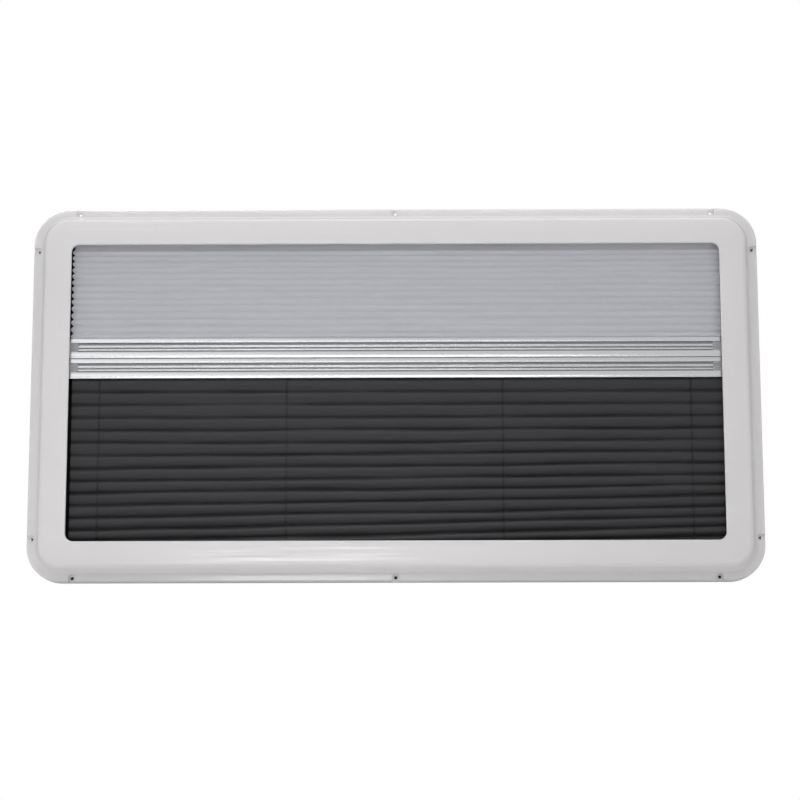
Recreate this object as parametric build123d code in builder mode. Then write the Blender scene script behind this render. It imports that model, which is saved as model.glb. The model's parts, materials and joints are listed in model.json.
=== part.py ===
from build123d import *
import math
import os

os.makedirs("parts", exist_ok=True)

# A push-out caravan window: a room-side frame with two pleated blinds, an outdoor frame and its double pane.
# All sizes are in mm. X runs across, -Y points into the room and Z is up.
# The wall's inner face is Y = 0, and the origin is on the back of the frame's lower flange.
# Heights called z below count from the middle of the window, depths into the room are negative.

# Room-side frame
frame_w = 940.0
frame_h = 490.0
frame_r = 47.0
border = 51.0
opening_r = 10.0
opening_edge = 1.6
rim_w = 12.0
rim_t = 7.0
rim_round = 4.5
step_run = 5.0
face_depth = 24.0
shoulder_round = 6.0
foot_edge = 2.0
skin = 3.0
flange_w = 15.5
pocket_draft = 6.0
origin_inset = 12.0

# Screw holes in open pockets along the rim
screw_inset = 6.0
screw_end_x = 59.0
screw_end_z = 56.0
screw_hole_d = 4.2
pocket_w = 9.0
pocket_sides = 12
pocket_seat = 3.5

# Wall cut-out, and the outdoor frame that goes through it
wall_t = 30.0
cutout_inset = 20.0
cutout_clear = 1.0
rib_t = 3.5
sleeve_t = 3.0
sleeve_stand = 11.0
outer_flange_inset = 5.0
outer_flange_side = 0.5
outer_flange_t = 3.0

# Guide channel profile on all four sides of the blinds
channel_w = 19.0
channel_d = 12.0
channel_wall = 1.6
channel_setback = 12.0
channel_gap = 2.0
channel_play = 0.5
slot_y = -10.5
slot_w = 8.0
light_stop_reach = 17.0
light_stop_back = 4.6

# Clip strips that hold the fixed ends of the fabrics
clip_drop = 2.0
clip_clear = 0.2

# Grip rails, one profile for both blinds
rail_h = 26.4
rail_overlap = 5.0
rail_face = -14.5
rail_back = -4.0
rail_lip = -16.0
lip_edge = 1.5
grip_top = 6.0
grip_h = 11.8
grip_depth = 2.0
ridge_w = 2.4
ridge_drop = 0.3
rail_wall = 1.5
rail_gap = 0.4
rail_joint = 149.5

# End caps of the rails
plug_len = 15.5
cap_plate = 2.0
glider_len = 14.0
glider_clear = 0.5
glider_trim = 1.0

# Pleated fabrics
fabric_t = 0.5
fabric_front = -15.0
fabric_back = -4.6
fabric_overlap = 2.0
fold_gap = 0.05
fly_pleats = 16
blackout_pleats = 14

# Tension cords
cord_d = 1.2
cord_sides = 8
cord_hole = 2.4
cord_end_inset = 39.0
cord_mid_x = 139.5

# Glazing
seal_w = 8.0
seal_t = 6.0
pane_inset = 12.0
inner_pane_t = 3.0
outer_pane_t = 3.5
field_inset = 40.0
field_r = 21.0
field_h = 10.0
field_draft = 45.0
field_edge = 3.0

# Hinge profiles along the top of the pane
hinge_end = 45.0
hinge_base_t = 2.5
hinge_wall = 4.0
hook_t = 3.0
hook_reach = 7.0
sleeve_gap = 1.0
strip_t = 2.0
strip_h = 20.0
strip_rise = 2.0
bead_t = 1.5
bead_h = 5.0

# Telescopic stays at the two sides
stay_len = 196.0
stay_lean = 22.0
stay_foot_rise = 71.0
stay_top_y = 16.0
stay_tube_d = 9.0
stay_rod_d = 6.0
stay_sides = 12
stay_tube_share = 0.62
stay_plate_t = 3.0
stay_plate_w = 22.0
stay_plate_h = 40.0
tab_t = 3.0
tab_over = 8.0
tab_len = 20.0

# Lever latches at the bottom of the pane
latch_x = 250.0
latch_plate_w = 46.0
latch_plate_h = 26.0
latch_plate_t = 3.0
latch_body_w = 26.0
latch_body_h = 22.0
latch_body_t = 11.0
latch_edge = 2.0
lever_t = 4.0
lever_rise = 7.0
lever_hub_w = 17.0
lever_tip_w = 11.0
lever_foot_w = 14.0
lever_up = 42.0
lever_down = 24.0
lever_lap = 6.0
catch_w = 30.0
catch_h = 8.0
catch_d = 10.0
catch_ramp = 3.0

# Sizes that follow
opening_w = frame_w - 2 * border
opening_h = frame_h - 2 * border
mid_z = frame_h / 2 - origin_inset
face_back = skin - face_depth
step_h = face_depth - rim_t
sleeve_inset = cutout_inset + cutout_clear
sleeve_out = wall_t + sleeve_stand
outer_flange_w = frame_w - 2 * outer_flange_side
outer_flange_h = frame_h - 2 * outer_flange_inset
sleeve_in_x = frame_w / 2 - sleeve_inset - sleeve_t
sleeve_in_z = frame_h / 2 - sleeve_inset - sleeve_t
slot_d = channel_d - channel_wall
channel_back = face_back + channel_w
side_mouth_x = opening_w / 2 + channel_setback
head_mouth_z = frame_h / 2 - sleeve_inset - rib_t - channel_gap - channel_d
clip_end = head_mouth_z - clip_drop
rail_len = opening_w + 2 * rail_overlap
fly_rail_top = opening_h / 2 - rail_joint + rail_gap / 2 + rail_h
blackout_rail_top = opening_h / 2 - rail_joint - rail_gap / 2
grip_floor = rail_face + grip_depth
cord_end_x = opening_w / 2 - cord_end_inset
cord_spots = [(x, slot_y) for x in (-cord_end_x, -cord_mid_x, cord_mid_x, cord_end_x)]
inner_pane_y = sleeve_out + seal_t
outer_pane_y = inner_pane_y + inner_pane_t
pane_front = outer_pane_y + outer_pane_t

# Sketches on the wall plane grow into the room, and outwards with a negative amount
wall_plane = Plane(origin=(0, 0, mid_z), x_dir=(1, 0, 0), z_dir=(0, -1, 0))


def section_plane(x):
    """A plane across the window at x, with sketch x along Y and sketch y along Z from mid height."""
    return Plane(origin=(x, 0, mid_z), x_dir=(0, 1, 0), z_dir=(1, 0, 0))


def level_plane(z):
    """A level plane at a height from the window's middle."""
    return Plane.XY.offset(mid_z + z)


def outline(inset, radius, mode=Mode.ADD):
    """The frame's outline drawn in by an inset, with its own corner radius."""
    RectangleRounded(frame_w - 2 * inset, frame_h - 2 * inset, radius, mode=mode)


def band(inset, width):
    """A band of even width that follows the frame's outline at an inset."""
    inner = inset + width
    outline(inset, frame_r - inset)
    outline(inner, frame_r - inner, Mode.SUBTRACT)


def save(part, name):
    """Labels a piece and writes its STEP file."""
    part.label = name
    export_step(part, f"parts/{name}.step")


def save_pair(part, name):
    """Writes a piece of the right-hand side, and its mirror image for the left."""
    save(part, f"{name}_right")
    save(mirror(part, about=Plane.YZ), f"{name}_left")


# Room-side frame: a flat screw rim, a sloped step up to a broad face, hollow behind
screw_spots = [
    (x, side * (frame_h / 2 - screw_inset), 90 * side)
    for x in (screw_end_x - frame_w / 2, 0, frame_w / 2 - screw_end_x)
    for side in (-1, 1)
]
screw_spots += [
    (side * (frame_w / 2 - screw_inset), z, 90 - 90 * side)
    for z in (screw_end_z - frame_h / 2, frame_h / 2 - screw_end_z)
    for side in (-1, 1)
]
with BuildPart() as inner_frame:
    with BuildSketch(wall_plane):
        outline(0, frame_r)
    extrude(amount=rim_t)
    fillet(inner_frame.faces().sort_by(Axis.Y)[0].edges(), rim_round)
    with BuildSketch(wall_plane.offset(rim_t)):
        outline(rim_w, frame_r - rim_w)
    extrude(amount=step_h, taper=math.degrees(math.atan2(step_run, step_h)))
    fillet(inner_frame.faces().sort_by(Axis.Y)[0].edges(), shoulder_round)
    rim_face = inner_frame.faces().filter_by(Axis.Y).sort_by(Axis.Y)[1]
    chamfer(rim_face.inner_wires()[0].edges(), foot_edge)
    with BuildSketch(wall_plane):
        RectangleRounded(opening_w, opening_h, opening_r)
    extrude(amount=face_depth, mode=Mode.SUBTRACT)
    chamfer(inner_frame.faces().sort_by(Axis.Y)[0].inner_wires()[0].edges(), opening_edge)
    with BuildSketch(wall_plane):
        outline(flange_w, frame_r - flange_w)
    extrude(amount=face_depth - skin, taper=pocket_draft, mode=Mode.SUBTRACT)
    with BuildSketch(wall_plane):
        band(sleeve_inset, rib_t)
    extrude(amount=face_depth - skin)
    for x, z, turn in screw_spots:
        seat = Plane(wall_plane * Pos(x, z, pocket_seat) * Rot(0, 0, turn))
        with BuildSketch(seat):
            RegularPolygon(pocket_w / 2, pocket_sides)
            with Locations((screw_inset, 0)):
                Rectangle(2 * screw_inset, pocket_w)
        extrude(amount=rim_t, mode=Mode.SUBTRACT)
        with BuildSketch(seat):
            Circle(screw_hole_d / 2)
        extrude(amount=-pocket_seat, mode=Mode.SUBTRACT)
save(inner_frame.part, "inner_frame")


def channel_section():
    """The guide profile with its mouth at sketch x = 0, facing +X, and its front wall towards -Y."""
    chamber = slot_y - slot_w / 2 - face_back - 2 * channel_wall
    with Locations((-channel_d / 2, face_back + channel_w / 2)):
        Rectangle(channel_d, channel_w)
    with Locations((-slot_d / 2, slot_y)):
        Rectangle(slot_d, slot_w, mode=Mode.SUBTRACT)
    with Locations((-channel_d / 2, face_back + channel_wall + chamber / 2)):
        Rectangle(channel_d - 2 * channel_wall, chamber, mode=Mode.SUBTRACT)


# Upright guide channels with a light stop behind the blinds' edges, and head and sill channels between them
side_mouth = Plane(origin=(side_mouth_x, 0, mid_z + head_mouth_z), x_dir=(-1, 0, 0), z_dir=(0, 0, -1))
with BuildPart() as guide_channel:
    with BuildSketch(side_mouth):
        channel_section()
        with Locations((-channel_wall / 2, channel_back + light_stop_back / 2)):
            Rectangle(channel_wall, light_stop_back)
        with Locations((light_stop_reach / 2, channel_back + light_stop_back - channel_wall / 2)):
            Rectangle(light_stop_reach, channel_wall)
    extrude(amount=2 * head_mouth_z)
save_pair(guide_channel.part, "guide_channel")

cross_len = 2 * (side_mouth_x - channel_play)
for name, side in (("head_channel", 1), ("sill_channel", -1)):
    corner = (-side * cross_len / 2, 0, mid_z + side * head_mouth_z)
    with BuildPart() as cross_channel:
        with BuildSketch(Plane(origin=corner, x_dir=(0, 0, -side), z_dir=(side, 0, 0))):
            channel_section()
        extrude(amount=cross_len)
    save(cross_channel.part, name)

# Clip strips in the head and sill channels
clip_h = slot_d + clip_drop
for name, side in (("flyscreen_clip", 1), ("blackout_clip", -1)):
    with BuildPart() as clip:
        with BuildSketch(section_plane(-opening_w / 2)):
            with Locations((slot_y, side * (clip_end + clip_h / 2))):
                Rectangle(slot_w - 2 * clip_clear, clip_h)
        extrude(amount=opening_w)
    save(clip.part, name)


def rail_outline(top):
    """The outer line of the rail's section: top band, two-ridged grip, flared lip and back."""
    groove_w = (grip_h - 2 * ridge_w) / 3
    ridge = rail_face + ridge_drop
    z = top - grip_top
    line = [(rail_back, top), (rail_face, top), (rail_face, z)]
    for width, depth in [(groove_w, grip_floor), (ridge_w, ridge)] * 2 + [(groove_w, grip_floor)]:
        line += [(depth, z), (depth, z - width)]
        z -= width
    bottom = top - rail_h
    return line + [(rail_face, z), (rail_lip, bottom + lip_edge), (rail_lip, bottom), (rail_back, bottom)]


def grip_rail(top):
    """A hollow rail with its top edge at a height, its ridges cut short for the caps, and cord holes."""
    core_t = rail_back - grip_floor - 2 * rail_wall
    plug_z = mid_z + top - grip_top - grip_h / 2
    with BuildPart() as rail:
        with BuildSketch(section_plane(-rail_len / 2)):
            with BuildLine():
                Polyline(*rail_outline(top), close=True)
            make_face()
            with Locations((rail_back - rail_wall - core_t / 2, top - rail_h / 2)):
                Rectangle(core_t, rail_h - 2 * rail_wall, mode=Mode.SUBTRACT)
        extrude(amount=rail_len)
        with Locations(*[(side * (rail_len - plug_len) / 2, rail_face, plug_z) for side in (-1, 1)]):
            Box(plug_len, 2 * grip_depth, grip_h, mode=Mode.SUBTRACT)
        with BuildSketch(level_plane(top)):
            with Locations(*cord_spots):
                Rectangle(cord_hole, cord_hole)
        extrude(amount=-rail_h, mode=Mode.SUBTRACT)
    return rail.part


def rail_cap(top):
    """A right-hand end cap: a plug in the grip, a plate over the rail's end and a glider for the channel."""
    end = rail_len / 2
    middle = mid_z + top - rail_h / 2
    with BuildPart() as cap:
        with Locations((end + cap_plate / 2, (rail_lip + rail_back) / 2, middle)):
            Box(cap_plate, rail_back - rail_lip, rail_h)
        with Locations((end - plug_len / 2, rail_face + grip_depth / 2, mid_z + top - grip_top - grip_h / 2)):
            Box(plug_len, grip_depth, grip_h)
        with Locations((end + cap_plate + glider_len / 2, slot_y, middle)):
            Box(glider_len, slot_w - 2 * glider_clear, rail_h - 2 * glider_trim)
    return cap.part


# The two grip rails meet at the joint, flyscreen rail above and blackout rail below
for name, top in (("flyscreen_rail", fly_rail_top), ("blackout_rail", blackout_rail_top)):
    save(grip_rail(top), name)
    save_pair(rail_cap(top), f"{name}_cap")


def pleated_fabric(upper, lower, pleats):
    """A sheet folded to and fro between two heights, with a hole in each panel where a cord runs."""
    half = (upper - lower) / (2 * pleats)
    through = fabric_t * math.hypot(fabric_back - fabric_front, half) / half
    turns = (fabric_back - through, fabric_front)
    folds = [(turns[i % 2], upper - i * half) for i in range(2 * pleats + 1)]
    width = opening_w + 2 * fabric_overlap
    with BuildPart() as fabric:
        with BuildSketch(section_plane(-width / 2)):
            with BuildLine():
                Polyline(*folds, *[(y + through, z) for y, z in reversed(folds)], close=True)
            make_face()
        extrude(amount=width)
        with BuildSketch(level_plane(lower)):
            with Locations(*cord_spots):
                Rectangle(cord_hole, cord_hole)
        extrude(amount=upper - lower, mode=Mode.SUBTRACT)
    return fabric.part


save(pleated_fabric(clip_end, fly_rail_top + fold_gap, fly_pleats), "flyscreen")
save(pleated_fabric(blackout_rail_top - rail_h - fold_gap, -clip_end, blackout_pleats), "blackout_blind")

# Taut cords from clip to clip, through both rails and both fabrics
with BuildPart() as tension_cords:
    with BuildSketch(level_plane(-clip_end)):
        with Locations(*cord_spots):
            RegularPolygon(cord_d / 2, cord_sides)
    extrude(amount=2 * clip_end)
save(tension_cords.part, "tension_cords")

# Outdoor frame: a sleeve through the wall with a flange outside
with BuildPart() as outer_frame:
    with BuildSketch(wall_plane):
        band(sleeve_inset, sleeve_t)
    extrude(amount=-sleeve_out)
    with BuildSketch(wall_plane.offset(-wall_t)):
        RectangleRounded(outer_flange_w, outer_flange_h, frame_r - outer_flange_inset)
        outline(sleeve_inset + sleeve_t, frame_r - sleeve_inset - sleeve_t, Mode.SUBTRACT)
    extrude(amount=-outer_flange_t)
save(outer_frame.part, "outer_frame")

# Rubber seal on the sleeve's outer end
with BuildPart() as pane_seal:
    with BuildSketch(wall_plane.offset(-sleeve_out)):
        band(sleeve_inset + sleeve_t / 2 - seal_w / 2, seal_w)
    extrude(amount=-seal_t)
save(pane_seal.part, "pane_seal")

# Double pane: a flat inner sheet and a formed outer sheet with a raised field
with BuildPart() as inner_pane:
    with BuildSketch(wall_plane.offset(-inner_pane_y)):
        outline(pane_inset, frame_r - pane_inset)
    extrude(amount=-inner_pane_t)
save(inner_pane.part, "inner_pane")

with BuildPart() as outer_pane:
    with BuildSketch(wall_plane.offset(-outer_pane_y)):
        outline(pane_inset, frame_r - pane_inset)
    extrude(amount=-outer_pane_t)
    with BuildSketch(wall_plane.offset(-pane_front)):
        outline(field_inset, field_r)
    extrude(amount=-field_h, taper=field_draft)
    chamfer(outer_pane.faces().sort_by(Axis.Y)[-1].edges(), field_edge)
    with BuildSketch(wall_plane.offset(-outer_pane_y)):
        outline(field_inset, field_r)
    extrude(amount=-field_h, taper=field_draft, mode=Mode.SUBTRACT)
save(outer_pane.part, "outer_pane")

# Hinge: a hook profile on the outdoor flange and a beaded strip on the pane's top edge
hinge_len = frame_w - 2 * hinge_end
hinge_foot = wall_t + outer_flange_t
hinge_top = frame_h / 2 - outer_flange_inset
hinge_low = frame_h / 2 - sleeve_inset + sleeve_gap
strip_top = frame_h / 2 - pane_inset + strip_rise
strip_face = pane_front + strip_t
bead_face = strip_face + bead_t
hook_low = strip_top - hook_reach
with BuildPart() as hinge_hook:
    with BuildSketch(section_plane(-hinge_len / 2)):
        with BuildLine():
            Polyline(
                (hinge_foot, hinge_low),
                (hinge_foot, hinge_top),
                (bead_face + hook_t, hinge_top),
                (bead_face + hook_t, hook_low),
                (bead_face, hook_low),
                (bead_face, hinge_top - hinge_wall),
                (hinge_foot + hinge_base_t, hinge_top - hinge_wall),
                (hinge_foot + hinge_base_t, hinge_low),
                close=True,
            )
        make_face()
    extrude(amount=hinge_len)
save(hinge_hook.part, "hinge_hook")

with BuildPart() as hinge_strip:
    with BuildSketch(section_plane(-hinge_len / 2)):
        with BuildLine():
            Polyline(
                (pane_front, strip_top),
                (bead_face, strip_top),
                (bead_face, strip_top - bead_h),
                (strip_face, strip_top - bead_h),
                (strip_face, strip_top - strip_h),
                (pane_front, strip_top - strip_h),
                close=True,
            )
        make_face()
    extrude(amount=hinge_len)
save(hinge_strip.part, "hinge_strip")

# Stays: a plate on the sleeve, a tube, its rod and a shoe on the pane, leaning out towards the foot
stay_plate_x = sleeve_in_x - stay_plate_t
stay_x = stay_plate_x - stay_tube_d / 2
shoe_x = stay_plate_x - stay_tube_d
stay_foot_z = stay_foot_rise - sleeve_in_z
stay_foot_y = stay_top_y + stay_lean
stay_fall = math.sqrt(stay_len**2 - stay_lean**2)
stay_top_z = stay_foot_z + stay_fall
tube_len = stay_len * stay_tube_share
stay_head = (stay_x, stay_top_y, mid_z + stay_top_z)
stay_line = Plane(origin=stay_head, x_dir=(1, 0, 0), z_dir=(0, stay_lean, -stay_fall))
with BuildPart() as stay_bracket:
    with BuildSketch(section_plane(stay_plate_x)):
        with Locations((stay_top_y, stay_top_z)):
            Rectangle(stay_plate_w, stay_plate_h)
    extrude(amount=stay_plate_t)
save_pair(stay_bracket.part, "stay_bracket")

with BuildPart() as stay_tube:
    with BuildSketch(stay_line.offset(tab_over)):
        RegularPolygon(stay_tube_d / 2, stay_sides)
    extrude(amount=tube_len - tab_over)
    with BuildSketch(stay_line.offset(-tab_over)):
        with Locations((stay_tube_d / 2 - tab_t / 2, 0)):
            Rectangle(tab_t, stay_tube_d)
    extrude(amount=tab_len)
save_pair(stay_tube.part, "stay_tube")

with BuildPart() as stay_rod:
    with BuildSketch(stay_line.offset(tube_len)):
        RegularPolygon(stay_rod_d / 2, stay_sides)
    extrude(amount=stay_len - tab_over - tube_len)
    with BuildSketch(stay_line.offset(stay_len + tab_over)):
        with Locations((tab_t / 2 - stay_tube_d / 2, 0)):
            Rectangle(tab_t, stay_tube_d)
    extrude(amount=-tab_len)
save_pair(stay_rod.part, "stay_rod")

with BuildPart() as stay_shoe:
    with BuildSketch(wall_plane.offset(-inner_pane_y)):
        with Locations(((stay_plate_x + shoe_x - tab_t) / 2, stay_foot_z)):
            Rectangle(stay_tube_d + tab_t, stay_plate_h)
    extrude(amount=stay_plate_t)
    with BuildSketch(wall_plane.offset(stay_plate_t - inner_pane_y)):
        with Locations((shoe_x - tab_t / 2, stay_foot_z)):
            Rectangle(tab_t, stay_plate_w)
    extrude(amount=inner_pane_y - stay_plate_t - stay_foot_y + stay_tube_d / 2)
save_pair(stay_shoe.part, "stay_shoe")

# Latches: a plate and housing on the pane, a turning lever, and a ramped catch on the sleeve
latch_z = catch_h - lever_lap + lever_down - sleeve_in_z
housing_front = inner_pane_y - latch_plate_t - latch_body_t
lever_back = housing_front - lever_rise
with BuildPart() as latch_body:
    with BuildSketch(wall_plane.offset(-inner_pane_y)):
        with Locations((latch_x, latch_z)):
            Rectangle(latch_plate_w, latch_plate_h)
    extrude(amount=latch_plate_t)
    with BuildSketch(wall_plane.offset(latch_plate_t - inner_pane_y)):
        with Locations((latch_x, latch_z)):
            Rectangle(latch_body_w, latch_body_h)
    extrude(amount=latch_body_t)
    chamfer(latch_body.faces().sort_by(Axis.Y)[0].edges(), latch_edge)
save_pair(latch_body.part, "latch_body")

with BuildPart() as latch_lever:
    with BuildSketch(wall_plane.offset(-lever_back)):
        with BuildLine():
            Polyline(
                (latch_x - lever_foot_w / 2, latch_z - lever_down),
                (latch_x + lever_foot_w / 2, latch_z - lever_down),
                (latch_x + lever_hub_w / 2, latch_z),
                (latch_x + lever_tip_w / 2, latch_z + lever_up),
                (latch_x - lever_tip_w / 2, latch_z + lever_up),
                (latch_x - lever_hub_w / 2, latch_z),
                close=True,
            )
        make_face()
    extrude(amount=lever_t)
    with BuildSketch(wall_plane.offset(-lever_back)):
        with Locations((latch_x, latch_z)):
            Rectangle(lever_tip_w, lever_tip_w)
    extrude(amount=-lever_rise)
save_pair(latch_lever.part, "latch_lever")

with BuildPart() as latch_catch:
    with Locations((latch_x, lever_back + catch_d / 2, mid_z - sleeve_in_z + catch_h / 2)):
        Box(catch_w, catch_d, catch_h)
    chamfer(latch_catch.edges().filter_by(Axis.X).group_by(Axis.Z)[-1].sort_by(Axis.Y)[-1], catch_ramp)
save_pair(latch_catch.part, "latch_catch")
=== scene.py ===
import enum
import json
import logging
import math
from dataclasses import dataclass, field
from typing import Any, Mapping, Optional, Sequence, Union

import bmesh
import bpy
from mathutils import Matrix, Vector


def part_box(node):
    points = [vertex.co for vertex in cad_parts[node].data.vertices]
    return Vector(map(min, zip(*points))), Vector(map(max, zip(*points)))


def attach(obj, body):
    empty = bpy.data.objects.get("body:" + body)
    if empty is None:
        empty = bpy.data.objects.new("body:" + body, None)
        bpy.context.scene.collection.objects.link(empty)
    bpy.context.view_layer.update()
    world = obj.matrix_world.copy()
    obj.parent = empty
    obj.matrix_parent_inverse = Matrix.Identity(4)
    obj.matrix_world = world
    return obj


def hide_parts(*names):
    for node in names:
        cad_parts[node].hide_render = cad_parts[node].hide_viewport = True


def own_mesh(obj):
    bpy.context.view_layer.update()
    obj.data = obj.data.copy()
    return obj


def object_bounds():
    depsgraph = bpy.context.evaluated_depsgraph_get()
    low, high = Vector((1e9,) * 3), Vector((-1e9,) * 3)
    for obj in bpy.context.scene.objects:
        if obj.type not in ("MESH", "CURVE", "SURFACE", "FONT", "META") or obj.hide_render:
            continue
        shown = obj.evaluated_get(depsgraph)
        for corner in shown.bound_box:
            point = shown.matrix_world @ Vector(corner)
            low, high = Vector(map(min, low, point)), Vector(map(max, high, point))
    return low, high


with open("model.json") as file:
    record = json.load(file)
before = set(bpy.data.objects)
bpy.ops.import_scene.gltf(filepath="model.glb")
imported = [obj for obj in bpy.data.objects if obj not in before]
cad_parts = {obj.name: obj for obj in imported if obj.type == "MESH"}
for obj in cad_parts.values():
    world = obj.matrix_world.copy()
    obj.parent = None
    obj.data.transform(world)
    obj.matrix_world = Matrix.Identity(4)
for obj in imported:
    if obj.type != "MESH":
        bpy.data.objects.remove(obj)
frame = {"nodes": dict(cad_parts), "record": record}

LOG = logging.getLogger("caravan_window")
CAD_BOX = [list(corner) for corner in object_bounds()]
IMAGE_SIDE = 800
MM = 0.001
RECESS = "recess"
SAME_SPOT = 1e-6
SMOOTH_ANGLE = math.radians(32.0)
WHITE = (1.0, 1.0, 1.0, 1.0)
FINE_LAYERS, SOFT_LAYERS, PLAIN_LAYERS = 3.0, 2.0, 1.0
GRAIN_TONE = 0.006
STREAK_TONE = 0.12
STREAK_STRETCH = (0.02, 1.0, 1.0)
SLUB_STRETCH = (0.08, 1.0, 1.0)
SLUB_SCALE = 160.0

Socket = bpy.types.NodeSocket
Value = Union[Socket, float, int, bool, str, Sequence[float]]
Point2 = tuple[float, float]
Point3 = tuple[float, float, float]
Colour = tuple[float, float, float, float]
SLOT_OF = {part["node"]: part["material_slot"] for part in frame["record"]["subparts"]}
BODY_OF = {
    node: body for body, nodes in frame["record"]["behaviour"]["bodies"].items() for node in nodes
}


class Body(enum.Enum):
    """The bodies that pieces ride on."""

    FRAME = "window_frame"
    FLYSCREEN = "flyscreen_bar"
    BLACKOUT = "blackout_bar"


class Effect(enum.Enum):
    """Surface effects that several finishes share."""

    GRAIN = "moulded_grain"
    STREAKS = "drawn_streaks"
    WEAVE = "cloth_weave"


def srgb(red: float, green: float, blue: float) -> Colour:
    """Turns display values into a linear colour.

    Args:
        red: Red from 0 to 255.
        green: Green from 0 to 255.
        blue: Blue from 0 to 255.

    Returns:
        The linear colour with full alpha.
    """
    linear = [
        value / 12.92 if value <= 0.04045 else ((value + 0.055) / 1.055) ** 2.4
        for value in (red / 255, green / 255, blue / 255)
    ]
    return (linear[0], linear[1], linear[2], 1.0)


def shaded(colour: Colour, share: float) -> Colour:
    """Scales a colour and keeps its alpha.

    Args:
        colour: A linear colour.
        share: What its channels are multiplied by.

    Returns:
        The scaled colour.
    """
    return (colour[0] * share, colour[1] * share, colour[2] * share, 1.0)


class Tree:
    """Adds nodes to a node tree and wires their inputs."""

    def __init__(self, tree: bpy.types.NodeTree) -> None:
        """Keeps the tree that the nodes go into.

        Args:
            tree: The node tree.
        """
        self.tree = tree

    def add(
        self, kind: str, inputs: Optional[Mapping[Union[str, int], Value]] = None, **settings: Any
    ) -> bpy.types.Node:
        """Adds one node.

        Args:
            kind: The node's type name.
            inputs: Sockets to link or values to set, by input name or number.
            **settings: Properties of the node, set before its inputs.

        Returns:
            The new node.
        """
        node = self.tree.nodes.new(kind)
        for name, value in settings.items():
            setattr(node, name, value)
        for key, value in (inputs or {}).items():
            if isinstance(value, bpy.types.NodeSocket):
                self.tree.links.new(value, node.inputs[key])
            else:
                node.inputs[key].default_value = value
        return node

    def math(self, operation: str, *values: Value) -> Socket:
        """Adds a math node and returns its result.

        Args:
            operation: The node's operation.
            *values: Its inputs in order.

        Returns:
            The output socket.
        """
        return self.add("ShaderNodeMath", dict(enumerate(values)), operation=operation).outputs[0]

    def ramp(self, value: Value, low: float, high: float) -> Socket:
        """Maps a value from the range 0 to 1 onto another range.

        Args:
            value: What is mapped.
            low: The result at 0.
            high: The result at 1.

        Returns:
            The output socket.
        """
        return self.add("ShaderNodeMapRange", {"Value": value, "To Min": low, "To Max": high}).outputs[0]

    def blend(self, factor: Value, first: Value, second: Value) -> Socket:
        """Mixes two numbers.

        Args:
            factor: 0 gives the first and 1 the second.
            first: The first number.
            second: The second number.

        Returns:
            The output socket.
        """
        return self.add("ShaderNodeMix", {0: factor, 2: first, 3: second}, data_type="FLOAT").outputs[0]

    def tint(self, factor: Value, first: Value, second: Value) -> Socket:
        """Mixes two colours.

        Args:
            factor: 0 gives the first and 1 the second.
            first: The first colour.
            second: The second colour.

        Returns:
            The output socket.
        """
        return self.add("ShaderNodeMix", {0: factor, 6: first, 7: second}, data_type="RGBA").outputs[2]

    def noise(self, vector: Value, scale: Value, layers: float) -> Socket:
        """Adds a noise texture.

        Args:
            vector: Where it is read.
            scale: How fine it is.
            layers: How many finer layers it has.

        Returns:
            The output socket, with values from 0 to 1.
        """
        return self.add("ShaderNodeTexNoise", {"Vector": vector, "Scale": scale, "Detail": layers}).outputs[0]

    def stretch(self, vector: Value, shares: Point3) -> Socket:
        """Scales coordinates along each axis.

        Args:
            vector: The coordinates.
            shares: What each axis is multiplied by.

        Returns:
            The output socket.
        """
        return self.add("ShaderNodeMapping", {"Vector": vector, "Scale": shares}).outputs[0]


def effect_group(effect: Effect) -> bpy.types.NodeTree:
    """Gives the shared node group of an effect, built at its first use.

    Args:
        effect: Which effect.

    Returns:
        The shader node group, with a fine Height and a broad Tone, both from 0 to 1.
    """
    if effect.value in bpy.data.node_groups:
        return bpy.data.node_groups[effect.value]
    group = bpy.data.node_groups.new(effect.value, "ShaderNodeTree")
    group.interface.new_socket("Vector", in_out="INPUT", socket_type="NodeSocketVector")
    group.interface.new_socket("Scale", in_out="INPUT", socket_type="NodeSocketFloat")
    group.interface.new_socket("Height", in_out="OUTPUT", socket_type="NodeSocketFloat")
    group.interface.new_socket("Tone", in_out="OUTPUT", socket_type="NodeSocketFloat")
    tree = Tree(group)
    given = tree.add("NodeGroupInput").outputs
    vector, scale = given["Vector"], given["Scale"]
    if effect is Effect.GRAIN:
        height = tree.noise(vector, scale, FINE_LAYERS)
        tone = tree.noise(vector, tree.math("MULTIPLY", scale, GRAIN_TONE), SOFT_LAYERS)
    elif effect is Effect.STREAKS:
        along = tree.stretch(vector, STREAK_STRETCH)
        height = tree.noise(along, scale, PLAIN_LAYERS)
        tone = tree.noise(along, tree.math("MULTIPLY", scale, STREAK_TONE), SOFT_LAYERS)
    else:
        split = tree.add("ShaderNodeSeparateXYZ", {"Vector": vector})
        turns = tree.math("MULTIPLY", scale, 2 * math.pi)
        warp = tree.math("SINE", tree.math("MULTIPLY", split.outputs[0], turns))
        weft = tree.math("SINE", tree.math("MULTIPLY", split.outputs[1], turns))
        height = tree.ramp(tree.math("MULTIPLY", warp, weft), 0.5, 1.0)
        tone = tree.noise(tree.stretch(vector, SLUB_STRETCH), SLUB_SCALE, FINE_LAYERS)
    tree.add("NodeGroupOutput", {"Height": height, "Tone": tone})
    return group


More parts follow.
